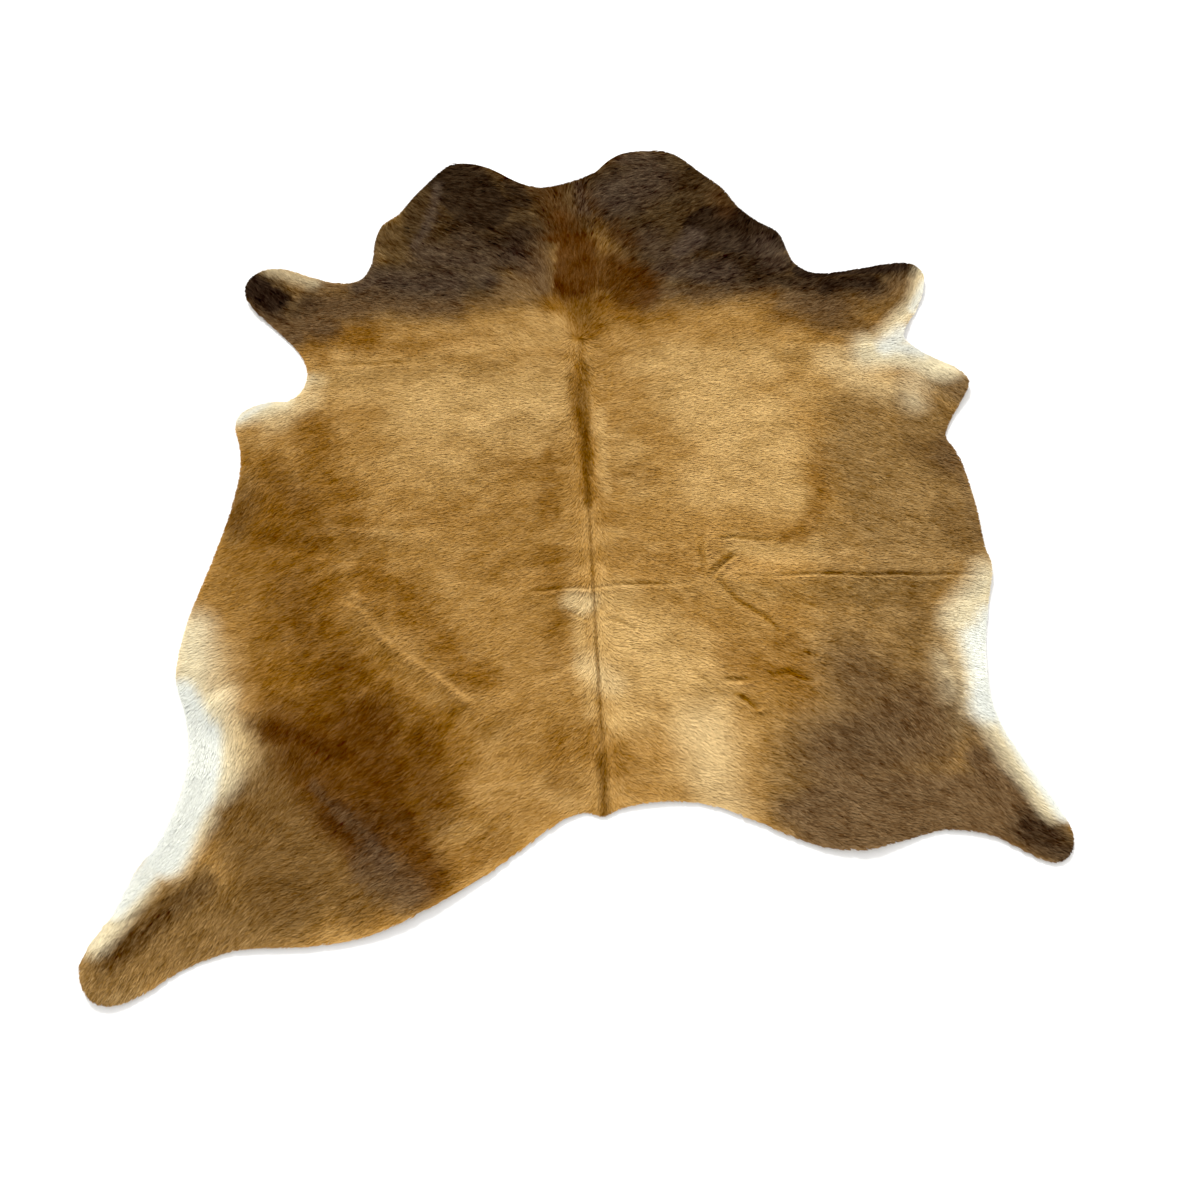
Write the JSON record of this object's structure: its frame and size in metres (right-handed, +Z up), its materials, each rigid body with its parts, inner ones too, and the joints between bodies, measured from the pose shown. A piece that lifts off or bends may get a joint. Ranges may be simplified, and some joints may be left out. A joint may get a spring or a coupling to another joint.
{
  "type": "cowhide rug",
  "caption": "Whole hair-on cowhide laid out flat, hair side up, with the natural outline of neck, legs and rump and soft packing folds.",
  "frame": {"origin": "the middle of the hide's length and width, at the level of the ground that it lies on", "axes": "+X across the hide to the right, +Y along the backbone from the tail to the neck, +Z up, hair side up"},
  "size_m": [1.9556, 2.1462, 0.014],
  "materials": {
    "hide": "hair-on hide: short satin tan and umber coat with cream belly edges over suede leather"
  },
  "bodies": {
    "root": {"cowhide": "hide"}
  },
  "joints": []
}
